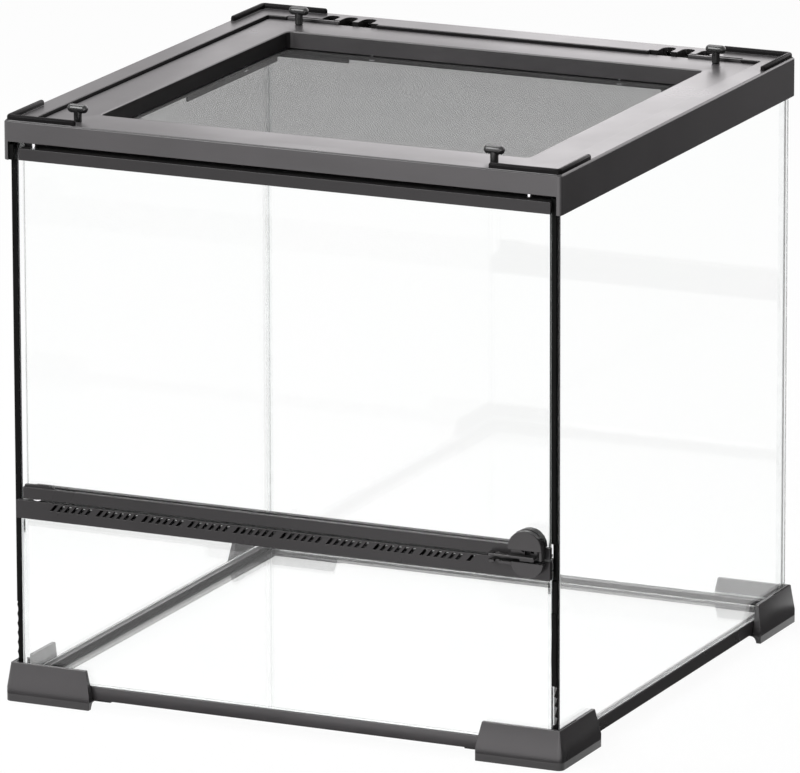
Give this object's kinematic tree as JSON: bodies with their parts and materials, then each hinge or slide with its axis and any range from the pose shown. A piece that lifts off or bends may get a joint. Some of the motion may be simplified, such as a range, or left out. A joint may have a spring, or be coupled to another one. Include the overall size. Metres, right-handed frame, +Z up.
{
  "type": "glass terrarium",
  "caption": "Cube glass terrarium on corner feet with a front door on pins, a slotted vent rail, a split lock, a screen lid with turn latches and cable ports.",
  "frame": {"origin": "middle of the whole object, on the surface that the feet stand on", "axes": "+Z up, the door faces -Y, the hinge is at -X and the lock at +X"},
  "size_m": [0.3114, 0.31, 0.3121],
  "materials": {
    "glass": "clear float glass",
    "frame_plastic": "charcoal moulded plastic with a satin top",
    "knob_plastic": "black moulded plastic",
    "silicone": "black silicone",
    "steel": "plain steel",
    "screen": "dark coated wire"
  },
  "bodies": {
    "tank": {"back_glass": "glass", "base_rail_back": "frame_plastic", "base_rail_front": "frame_plastic", "base_rail_left": "frame_plastic", "base_rail_right": "frame_plastic", "bottom_glass": "glass", "door_catch_pin": "steel", "edge_trim_left": "silicone", "edge_trim_right": "silicone", "foot_back_left": "frame_plastic", "foot_back_right": "frame_plastic", "foot_front_left": "frame_plastic", "foot_front_right": "frame_plastic", "hinge_pin_lower": "steel", "hinge_pin_upper": "steel", "hinge_washer": "steel", "left_glass": "glass", "lock_keeper": "frame_plastic", "lower_front_glass": "glass", "right_glass": "glass", "seal_back_left": "silicone", "seal_back_right": "silicone", "seal_bottom": "silicone", "seal_front_left": "silicone", "seal_front_right": "silicone", "top_rim": "frame_plastic", "vent_rail": "frame_plastic"},
    "door": {"door_glass": "glass", "door_top_rail": "frame_plastic", "door_bottom_rail": "frame_plastic", "hinge_bush_lower": "steel", "hinge_bush_upper": "steel", "lock_pull": "frame_plastic"},
    "lock_bar": {"lock_bar": "frame_plastic"},
    "lid": {"lid_frame": "frame_plastic", "lid_mesh": "screen", "mesh_retainer": "frame_plastic", "retainer_screw_a": "steel", "retainer_screw_b": "steel", "retainer_screw_c": "steel", "retainer_screw_d": "steel", "retainer_screw_e": "steel", "retainer_screw_f": "steel", "retainer_screw_g": "steel", "retainer_screw_h": "steel"},
    "latch_front_left": {"latch_knob_front_left": "knob_plastic", "latch_cam_front_left": "knob_plastic"},
    "latch_front_right": {"latch_knob_front_right": "knob_plastic", "latch_cam_front_right": "knob_plastic"},
    "latch_back_left": {"latch_knob_back_left": "knob_plastic", "latch_cam_back_left": "knob_plastic"},
    "latch_back_right": {"latch_knob_back_right": "knob_plastic", "latch_cam_back_right": "knob_plastic"},
    "slider_left": {"cable_slider_left": "frame_plastic"},
    "slider_right": {"cable_slider_right": "frame_plastic"}
  },
  "joints": [
    {"name": "door_hinge", "type": "hinge", "parent": "tank", "child": "door", "pos_m": [-0.13725, -0.14622, 0.1995], "axis": [0, 0, -1], "range_deg": [0, 115]},
    {"name": "lock_bar_lift", "type": "slide", "parent": "door", "child": "lock_bar", "axis": [0, 0, 1], "range_m": [-0.0014, 0.0026]},
    {"name": "lid_lift", "type": "slide", "parent": "tank", "child": "lid", "axis": [0, 0, 1], "range_m": [0, 0.05]},
    {"name": "latch_front_left_turn", "type": "hinge", "parent": "lid", "child": "latch_front_left", "pos_m": [-0.1193, -0.13228, 0.3024], "axis": [0, 0, -1], "range_deg": [0, 90]},
    {"name": "latch_front_right_turn", "type": "hinge", "parent": "lid", "child": "latch_front_right", "pos_m": [0.1103, -0.13128, 0.3024], "axis": [0, 0, 1], "range_deg": [0, 90]},
    {"name": "latch_back_left_turn", "type": "hinge", "parent": "lid", "child": "latch_back_left", "pos_m": [-0.119, 0.12673, 0.3024], "axis": [0, 0, 1], "range_deg": [0, 90]},
    {"name": "latch_back_right_turn", "type": "hinge", "parent": "lid", "child": "latch_back_right", "pos_m": [0.119, 0.12853, 0.3024], "axis": [0, 0, -1], "range_deg": [0, 90]},
    {"name": "slider_left_slide", "type": "slide", "parent": "tank", "child": "slider_left", "axis": [1, 0, 0], "range_m": [0, 0.022]},
    {"name": "slider_right_slide", "type": "slide", "parent": "tank", "child": "slider_right", "axis": [-1, 0, 0], "range_m": [0, 0.022]}
  ]
}
